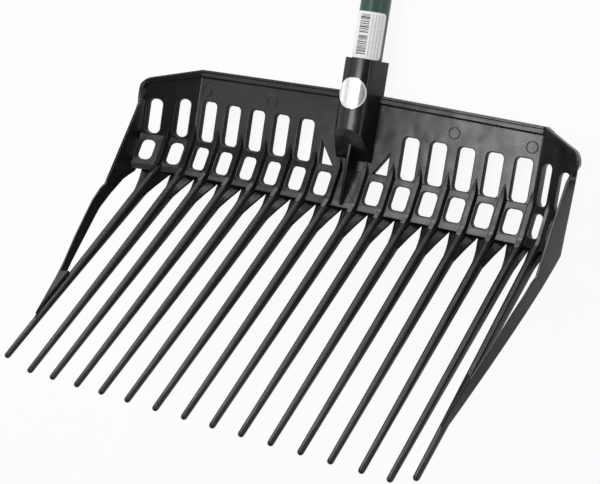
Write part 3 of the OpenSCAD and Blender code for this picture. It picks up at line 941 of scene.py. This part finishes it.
class FORK_OT_tines(bpy.types.Operator):
    """Model one tine with its flared root, copy it across the head and fit the outer ones"""

    bl_idname = "fork.tines"
    bl_label = "Tines"

    # Heights of a flare over the tine's middle line: back, outer edge and foot of the bar
    WEB = (-2.4 * MM, -0.4 * MM, 3.2 * MM)
    # The outer flares of the first and last tine: reach and how much further forward they lie
    OUTER, FORWARD = 10.5 * MM, 2.6 * MM
    # Least reach of a flare, as a share of the tine's width
    LEAST = 0.42
    # First rings of a bar, inside the heel: place along it, share of its width, depth, and shift to the front
    ROOT = ((-6 * MM, 0.8, 5 * MM, 2.5 * MM), (2 * MM, 1.0, 12.2 * MM, 0.5 * MM))
    # Place of the next ring, steps from there to the tip, and how fast the depth falls
    START, STEPS, DEPTH_FALL = 10 * MM, 9, 1.3
    # Corners of a ring, and the turns of the rings round the tip in degrees
    CORNERS, TIP_TURNS = 20, (25, 45, 62, 76, 86)
    # How far each tip stands to the side of a straight tine, in millimetres
    LEAN = (0.0, 2.1, -0.2, -1.0, -2.2, -2.3, -1.1, 0.1, 0.5, 0.7, 1.0, 1.1, 0.6, 0.5, -2.2, 0.3)

    def execute(self, context):
        outer = (TINE_X[1] - TINE_X[0]) / 2
        inner = PITCH / 2
        regular = self.tine(0.0, inner, inner, 0.0)
        # The two tines at each end stand on a wing or beside one and have flares of their own
        for i, x in enumerate(TINE_X, 1):
            if 3 <= i <= 14:
                piece = self.copy(regular, x)
            else:
                left = {1: self.OUTER, 2: outer, 16: outer}.get(i, inner)
                right = {1: outer, 15: outer, 16: self.OUTER}.get(i, inner)
                piece = self.tine(x, left, right, self.shortened(i))
            self.lean(piece, x, TINE_BOXES[i - 1][1].z, self.LEAN[i - 1] * MM)
            nodes = [f"tine_{i:02d}"] + (["tine_roots"] if i == 1 else [])
            hand_over_head(piece, f"straight_tine_{i:02d}", nodes)
        bpy.data.objects.remove(regular)
        return {"FINISHED"}

    @staticmethod
    def root_z(x):
        """Height of the back edge of the heel where a tine starts."""
        lift = WING_RISE * max(0.0, abs(x) - FOLD_X)
        return PLATE_Z + lift + HEEL_LEN * HEEL_RISE - PLATE_T * math.hypot(1.0, HEEL_RISE)

    def full_len(self):
        """Length of a regular tine from the heel to its tip, from the frame."""
        top = TINE_BOXES[2][1].z
        r = sizes().tip_w / 2
        return (top - r - self.root_z(0.0)) / math.sin(sizes().tine_angle) + r

    def shortened(self, i):
        """How much shorter the first and the last tine are."""
        if i not in (1, 16):
            return 0.0
        top = TINE_BOXES[0][1].z - (self.root_z(TINE_X[0]) - self.root_z(0.0))
        return (TINE_BOXES[2][1].z - top) / math.sin(sizes().tine_angle)

    def lean(self, piece, x, top, move):
        """Moves a tine sideways, from nothing at its root to the whole way at its tip."""
        low = self.root_z(x)
        for v in piece.data.vertices:
            v.co.x += move * max(0.0, (v.co.z - low) / (top - low))

    def copy(self, piece, x):
        """A copy with its own mesh, moved across the head."""
        activate(piece)
        bpy.ops.object.duplicate()
        bpy.context.object.location.x = x
        settle()
        return bpy.context.object

    def point(self, x, across, deep, along):
        """Place beside a tine's middle line: across it, towards its front, and along it from the heel."""
        c, s = math.cos(sizes().tine_angle), math.sin(sizes().tine_angle)
        return x + across, -HEEL_LEN - along * c + deep * s, self.root_z(x) + along * s + deep * c

    def tine(self, x, left, right, shorter):
        return join([self.bar(x, self.full_len() - shorter), self.flare(x, left, right)])

    def bar(self, x, length):
        """Round bar, deeper than wide at the root, with a round tip."""
        s = sizes()
        r = s.tip_w / 2
        rows = [(along, share * s.tine_w, deep, ahead) for along, share, deep, ahead in self.ROOT]
        for k in range(self.STEPS + 1):
            along = self.START + (length - r - self.START) * k / self.STEPS
            share = along / length
            deep = s.tip_w + (s.tine_deep - s.tip_w) * (1 - share) ** self.DEPTH_FALL
            rows.append((along, s.tine_w + (s.tip_w - s.tine_w) * share, deep, 0.0))
        wide, deep = rows[-1][1:3]
        for turn in self.TIP_TURNS:
            a = math.radians(turn)
            rows.append((length - r + r * math.sin(a), wide * math.cos(a), deep * math.cos(a), 0.0))
        turns = [2 * math.pi * k / self.CORNERS for k in range(self.CORNERS)]
        rings = []
        for along, wide, deep, ahead in rows:
            rings.append([self.point(x, wide / 2 * math.cos(a), ahead + deep / 2 * math.sin(a), along)
                          for a in turns])
        piece = loft(rings)
        smooth(angle=60)
        return piece

    def flare(self, x, left, right):
        """Flat web on both sides of the root that runs out on the bar and follows the slope of a wing."""
        s = sizes()
        back, edge, ridge = self.WEB
        c, h = math.cos(s.tine_angle), math.sin(s.tine_angle)
        least = self.LEAST * s.tine_w
        sides = []
        for way, reach in ((1, right), (-1, left)):
            rise = front_z(x + way * reach, TOP_Y) - front_z(x, TOP_Y)
            sides.append((way, reach, rise, self.FORWARD if reach == self.OUTER else 0.0))
        rings = []
        # Place along the tine, share of the reach that is left, and how far the foot of the bar has risen
        for along, share, high in ((-3 * MM, 1.0, 0.2), (0.2 * MM, 1.0, 0.6), (0.5 * s.root_len, 0.47, 1.0),
                                   (s.root_len, 0.04, 1.0), (s.root_len + 8 * MM, -0.2, 1.0)):
            halves = []
            for way, reach, rise, ahead in sides:
                out = way * (least + (reach - least) * share)
                lift = rise * max(0.0, share)
                half = [self.point(x, out, deep + ahead + lift * c, along + lift * h)
                        for deep in (back, edge)]
                half.append(self.point(x, way * least, edge + (ridge - edge) * high, along))
                halves.append(half)
            rings.append(halves[0] + halves[1][::-1])
        return moulded(rings, width=0.5 * MM, segments=2, angle=40, shading=40)


class FORK_OT_ribs(bpy.types.Operator):
    """Model the ribs that start as points between the upper slots and grow down to the heel"""

    bl_idname = "fork.ribs"
    bl_label = "Tine ribs"

    # Depth of a rib's foot in the plates, its width on the back and on a wing, and the top's share of it
    SINK, FOOT, WING_FOOT, TOP = 1.2 * MM, 8.6 * MM, 6.0 * MM, 0.46
    # Height of a rib on a wing as a share of the others, and its start above the bend
    WING_H, WING_START = 0.6, 8 * MM
    # Places below the bend in millimetres, and the heights there as shares of the rib's height
    HEIGHTS = ((0, 0.95), (-10, 1.0), (-20, 0.95), (-24, 0.95), (-26.5, 1.05), (-28.5, 1.17), (-30.5, 1.37),
               (-33, 1.5))
    # Where the ribs of a wing grow to the height of the others
    GROW_START, GROW_END = -24, -33

    def execute(self, context):
        hand_over_head(join([self.rib(x) for x in TINE_X]), "head_ribs", ["tine_ribs"])
        return {"FINISHED"}

    def rows(self, x):
        """Place along the plates, height, top width and foot width of a rib, from its point into the tine."""
        wing = abs(x) > FOLD_X + 1 * MM
        full = sizes().rib_h
        h = full * self.WING_H if wing else full
        foot = self.WING_FOOT if wing else self.FOOT
        start = sizes().rib_start
        if wing:
            start = self.WING_START
        elif abs(x) <= PITCH:
            start = SOCKET_LO.y - BEND_Y + 2 * MM
        made = [(start, 0.1 * MM, 0.3 * MM, 0.8 * MM), (0.5 * start, 0.5 * h, 0.25 * foot, 0.7 * foot)]
        for y, high in self.HEIGHTS:
            share = max(0.0, (self.GROW_START - y) / (self.GROW_START - self.GROW_END))
            made.append((y * MM, high * (h + (full - h) * share), self.TOP * foot, foot))
        return made

    def rib(self, x):
        """Bar with sloping sides along the front of the plates."""
        rings = []
        for y, h, top, foot in self.rows(x):
            crest = front_z(x, y) + h
            left, right = x - foot / 2, x + foot / 2
            rings.append([(right, y, front_z(right, y) - self.SINK), (x + top / 2, y, crest),
                          (x - top / 2, y, crest), (left, y, front_z(left, y) - self.SINK)])
        return moulded(rings, width=0.6 * MM, segments=3, angle=25, shading=45)


class FORK_OT_handle(bpy.types.Operator):
    """Model the painted tube"""

    bl_idname = "fork.handle"
    bl_label = "Handle tube"

    # Wall of the tube, taper of its inside and depth of the open ends
    WALL, TAPER, OPEN = 1.2 * MM, 0.2 * MM, 12 * MM

    def execute(self, context):
        start_clean()
        length = TUBE_HI.y - TUBE_LO.y
        bpy.ops.mesh.primitive_cylinder_add(
            vertices=96, radius=TUBE_R, depth=length, location=(0, (TUBE_HI.y + TUBE_LO.y) / 2, AXIS_Z),
            rotation=(math.pi / 2, 0, 0))
        settle()
        edit_mode()
        pick(lambda co, n: abs(n.y) > 0.9, "FACE")
        bpy.ops.mesh.inset(thickness=self.WALL, depth=0.0, use_individual=True)
        bpy.ops.mesh.inset(thickness=self.TAPER, depth=-self.OPEN, use_individual=True)
        object_mode()
        smooth(angle=40)
        hand_over(bpy.context.object, "painted_tube", tube_paint(), ["handle_tube"])
        return {"FINISHED"}


class FORK_OT_grip(bpy.types.Operator):
    """Model the closed sleeve grip with shallow rings"""

    bl_idname = "fork.grip"
    bl_label = "Grip"

    # Grooves: how many, depth, and the places of their floor and end from their start
    GROOVES, GROOVE, FLOOR, END = 11, 0.9 * MM, (0.9 * MM, 2.4 * MM), 3.3 * MM
    # Places of the first groove and of the end of the last one, from the ends of the grip
    FIRST, LAST = 16 * MM, 18 * MM
    # Rounding of the closed end
    ROUND = 4 * MM

    def execute(self, context):
        radius = (GRIP_HI.x - GRIP_LO.x) / 2
        length = GRIP_HI.y - GRIP_LO.y
        profile = self.profile(radius, length)
        start_clean()
        bpy.ops.mesh.primitive_plane_add(size=1.0)
        edit_mode()
        pick(lambda co, n: not (co.x > 0 and co.y > 0))
        bpy.ops.mesh.delete(type="VERT")
        select_all()
        for k in range(len(profile) - 1):
            extrude((0, 0, 1.0))
        object_mode()
        for v in bpy.context.object.data.vertices:
            r, y = profile[round(v.co.z)]
            v.co = (r, GRIP_LO.y + y, AXIS_Z)
        edit_mode()
        select_all()
        bpy.ops.mesh.spin(steps=96, angle=2 * math.pi, center=(0, 0, AXIS_Z), axis=(0, 1, 0))
        object_mode()
        tidy_mesh()
        smooth(angle=50)
        hand_over(bpy.context.object, "sleeve_grip", grip_rubber(), ["handle_grip"])
        return {"FINISHED"}

    def profile(self, radius, length):
        """Radius and place along the grip, from the tube to the closed end."""
        r = self.ROUND
        points = [(TUBE_R - 0.3 * MM, 6 * MM), (TUBE_R + 0.1 * MM, 0.4 * MM), (radius - 2.2 * MM, 0.0)]
        points += [(radius - 0.3 * r, 0.5 * MM), (radius, 2.0 * MM), (radius, 12 * MM)]
        step = (length - self.LAST - self.FIRST) / self.GROOVES
        for k in range(self.GROOVES):
            y = self.FIRST + k * step
            points += [(radius, y)] + [(radius - self.GROOVE, y + place) for place in self.FLOOR]
            points.append((radius, y + self.END))
        points += [(radius, length - 12 * MM), (radius, length - r)]
        points += arc((radius - r, length - r), r, 12, 90, 6)
        return points + [(radius * 0.4, length), (0.0, length)]


class FORK_OT_screw(bpy.types.Operator):
    """Model the pan head screw that holds the tube"""

    bl_idname = "fork.screw"
    bl_label = "Fixing screw"

    # Height of the head, radius of the shank, and width, length and height of the cutters for the cross
    HEAD_H, SHANK_R = 2.4 * MM, 2 * MM
    CROSS = (1.1 * MM, 5.2 * MM, 2.4 * MM)

    def execute(self, context):
        start_clean()
        r = (SCREW_HI.x - SCREW_LO.x) / 2
        y = (SCREW_HI.y + SCREW_LO.y) / 2
        bpy.ops.mesh.primitive_cylinder_add(
            vertices=48, radius=r, depth=self.HEAD_H, location=(0, y, SCREW_LO.z + self.HEAD_H / 2))
        settle()
        edit_mode()
        pick(lambda co, n: n.z > 0.9, "FACE")
        bpy.ops.mesh.inset(thickness=r - self.SHANK_R, depth=0.0)
        extrude((0, 0, SCREW_HI.z - SCREW_LO.z - self.HEAD_H))
        object_mode()
        head = bpy.context.object
        for turn in (0, math.pi / 2):
            start_clean()
            bpy.ops.mesh.primitive_cube_add(size=1.0, location=(0, y, SCREW_LO.z), rotation=(0, 0, turn))
            slot = bpy.context.object
            slot.scale = self.CROSS
            cut_away(head, slot)
        soften(width=0.35 * MM, segments=2, angle=40)
        smooth(angle=40)
        hand_over(head, "pan_head_screw", screw_steel(), ["fixing_screw"])
        return {"FINISHED"}


def wrapped_sheet(name, outline, size, radius, middle):
    """Flat film cut to an outline, wrapped round an axis along Y; its UV map keeps the flat layout."""
    piece = flat_curve(name, [outline], 0.0, 0.0)
    edit_mode()
    for k in range(1, FILM_STRIPS):
        cut(((k / FILM_STRIPS - 0.5) * size[0], 0, 0), (1, 0, 0))
    object_mode()
    uv = piece.data.uv_layers.new(name="label")
    for loop in piece.data.loops:
        co = piece.data.vertices[loop.vertex_index].co
        uv.data[loop.index].uv = (co.x / size[0] + 0.5, co.y / size[1] + 0.5)
    r = radius + FILM_GAP
    for v in piece.data.vertices:
        turn = v.co.x / r
        v.co = (r * math.sin(turn), middle[0] + v.co.y, middle[1] + r * math.cos(turn))
    tidy_mesh()
    outward = sum(p.normal.z * p.area for p in piece.data.polygons) > 0
    modifier("SOLIDIFY", thickness=FILM_T, offset=1.0 if outward else -1.0)
    smooth(angle=40)
    return bpy.context.object


class FORK_OT_label(bpy.types.Operator):
    """Model the printed film wrapped round the tube"""

    bl_idname = "fork.label"
    bl_label = "Label"

    # How far the film reaches round the tube to each side in degrees, and its corner radius
    HALF_ANGLE, CORNER = 80, 3.5 * MM

    def execute(self, context):
        length = LABEL_HI.y - LABEL_LO.y
        width = 2 * math.radians(self.HALF_ANGLE) * TUBE_R
        outline = rounded_box(0, 0, width, length, self.CORNER)
        middle = ((LABEL_HI.y + LABEL_LO.y) / 2, AXIS_Z)
        piece = wrapped_sheet("tube_label", outline, (width, length), TUBE_R, middle)
        hand_over(piece, "tube_label", label_film(), ["handle_label"])
        return {"FINISHED"}


class FORK_OT_sticker(bpy.types.Operator):
    """Model the round foil sticker on the front of the socket"""

    bl_idname = "fork.sticker"
    bl_label = "Sticker"

    def execute(self, context):
        across = STICKER_HI.y - STICKER_LO.y
        r = FORK_OT_socket.FRONT_R
        # A point every five degrees
        outline = arc((0, 0), across / 2, 0, 355, 71)
        middle = ((STICKER_HI.y + STICKER_LO.y) / 2, SOCKET_HI.z - r)
        piece = wrapped_sheet("foil_sticker", outline, (across, across), r, middle)
        hand_over(piece, "foil_sticker", sticker_foil(), ["socket_sticker"])
        return {"FINISHED"}


class FORK_OT_stage(bpy.types.Operator):
    """Set the floor, the soft lights, the world and the camera"""

    bl_idname = "fork.stage"
    bl_label = "Stage"

    # Camera from the photograph, measured from the bend line and the front of the back plate
    CAMERA_PLACE = Vector((0.5194, 0.0950, 1.0794))
    CAMERA_TURN = (-3.1754, 28.1820, 9.7695)
    FOCAL_PX = 1405.53
    IMAGE_W = 600
    SENSOR_MM = 36.0
    # Floor: size, distance under the fork, and the share of plain white in what the camera sees of it
    FLOOR_SIZE, FLOOR_GAP, WHITE_SHARE = 60.0, 0.2 * MM, 0.92
    # Tones of the floor in mirrored rays, around the fork and in a painted shade under its head
    AROUND, UNDER = 0.8, 0.25
    # That painted shade: its distance from the bend, half its size, and where its soft edge starts and ends
    SHADE_Y, SHADE_SIZE, SHADE_EDGE = -0.06, (0.24, 0.13), (0.8, 1.25)
    SKY, SKY_STRENGTH = (0.9, 0.95, 1.0), 0.17
    # The lights point at the head: name, place from there, width, height and power
    HEAD = Vector((0, BEND_Y, 0.05))
    LIGHTS = (
        ("key", (-0.25, -0.05, 1.45), 0.36, 0.5, 5.0),
        ("wide", (-0.62, 0.0, 1.5), 0.9, 1.0, 2.0),
        ("wide left", (-1.35, 0.0, 1.0), 0.5, 1.2, 1.25),
        ("left", (-1.5, 0.1, 0.5), 1.3, 0.6, 1.5),
        ("rear", (-0.35, 0.90, 1.10), 0.5, 0.42, 3.9),
        ("rear left", (-0.9, 1.3, 0.3), 1.3, 0.7, 7.5),
        ("rear right", (0.6, 0.9, 1.05), 0.5, 0.5, 2.0),
        ("rear right low", (0.5, 1.5, 0.3), 0.8, 0.5, 3.8),
        ("side", (1.5, 0.2, 0.6), 2.0, 0.4, 5.0),
        ("rear low", (-0.405, 1.326, 0.647), 0.45, 0.5, 4.2),
        ("front low", (-0.75, -1.45, 0.3), 1.0, 0.5, 2.5),
    )

    def execute(self, context):
        self.floor()
        self.world()
        for light in self.LIGHTS:
            self.softbox(*light)
        self.camera()
        context.scene.view_settings.view_transform = "Standard"
        return {"FINISHED"}

    def floor(self):
        """Floor, white to the camera with a faint shadow, and with a painted shade under the head in mirrored
        rays.
        """
        start_clean()
        bpy.ops.mesh.primitive_plane_add(size=self.FLOOR_SIZE, location=(0, 0, -self.FLOOR_GAP))
        plane = bpy.context.object
        plane.name = "floor"
        f = Finish("floor_white")
        lit = f.node("ShaderNodeBsdfDiffuse", None, {"Color": rgba(colours().floor)})
        white, around, under = [f.node("ShaderNodeEmission", None, {"Color": rgba((tone, tone, tone))})
                                for tone in (1.0, self.AROUND, self.UNDER)]
        rays = f.node("ShaderNodeLightPath", out="Is Camera Ray")
        mirrored = rays.beside("Is Glossy Ray").most(rays.beside("Is Transmission Ray")) * (1.0 - rays)
        wide, deep = self.SHADE_SIZE
        where = f.place(scale=(1 / wide, 1 / deep, 0), move=(0, -(BEND_Y + self.SHADE_Y) / deep, 0))
        reach = f.node("ShaderNodeVectorMath", {"operation": "LENGTH"}, {0: where}, "Value")
        # Painted shade: in mirrored rays the floor's emission is darker under the head, in place of a cast
        # shadow
        shade = f.blend(f.ramp(reach, *self.SHADE_EDGE), under, around)
        f.output(f.blend(rays * self.WHITE_SHARE + mirrored, lit, f.blend(mirrored, white, shade)))
        plane.data.materials.append(f.holder)

    def world(self):
        world = bpy.data.worlds.new("studio")
        bpy.context.scene.world = world
        f = Finish("studio", world)
        inputs = {"Color": rgba(self.SKY), "Strength": self.SKY_STRENGTH}
        f.output(f.node("ShaderNodeBackground", None, inputs))

    def softbox(self, name, place, width, height, power):
        """Soft light at a place from the head, turned to it."""
        light = bpy.data.lights.new(name, "AREA")
        light.shape = "RECTANGLE"
        light.size = width
        light.size_y = height
        light.energy = power
        lamp = bpy.data.objects.new(name, light)
        lamp.location = self.HEAD + Vector(place)
        lamp.rotation_euler = Vector(place).to_track_quat("Z", "Y").to_euler()
        bpy.context.scene.collection.objects.link(lamp)

    def camera(self):
        data = bpy.data.cameras.new("camera")
        data.sensor_width = self.SENSOR_MM
        data.lens = self.FOCAL_PX * self.SENSOR_MM / self.IMAGE_W
        cam = bpy.data.objects.new("camera", data)
        cam.location = self.CAMERA_PLACE + Vector((0, BEND_Y, PLATE_Z))
        cam.rotation_euler = [math.radians(a) for a in self.CAMERA_TURN]
        bpy.context.scene.collection.objects.link(cam)
        bpy.context.scene.camera = cam


OPERATORS = (
    FORK_OT_stage, FORK_OT_slotted_panel, FORK_OT_top_rim, FORK_OT_side_walls, FORK_OT_socket, FORK_OT_tines,
    FORK_OT_ribs, FORK_OT_handle, FORK_OT_grip, FORK_OT_screw, FORK_OT_label, FORK_OT_sticker)


class FORK_PT_sidebar(bpy.types.Panel):
    """Lists the steps that model the fork"""

    bl_idname = "FORK_PT_sidebar"
    bl_label = "Manure fork"
    bl_space_type = "VIEW_3D"
    bl_region_type = "UI"
    bl_category = "Fork"

    def draw(self, context):
        for step in OPERATORS:
            self.layout.operator(step.bl_idname)


CLASSES = (ForkSizes, ForkColours) + OPERATORS + (FORK_PT_sidebar,)


def register():
    for cls in CLASSES:
        bpy.utils.register_class(cls)
    bpy.types.Scene.fork_sizes = bpy.props.PointerProperty(type=ForkSizes)
    bpy.types.Scene.fork_colours = bpy.props.PointerProperty(type=ForkColours)


def unregister():
    del bpy.types.Scene.fork_colours
    del bpy.types.Scene.fork_sizes
    for cls in reversed(CLASSES):
        bpy.utils.unregister_class(cls)


def main():
    register()
    for step in OPERATORS:
        getattr(bpy.ops.fork, step.bl_idname.removeprefix("fork."))()


if __name__ == "__main__":
    main()
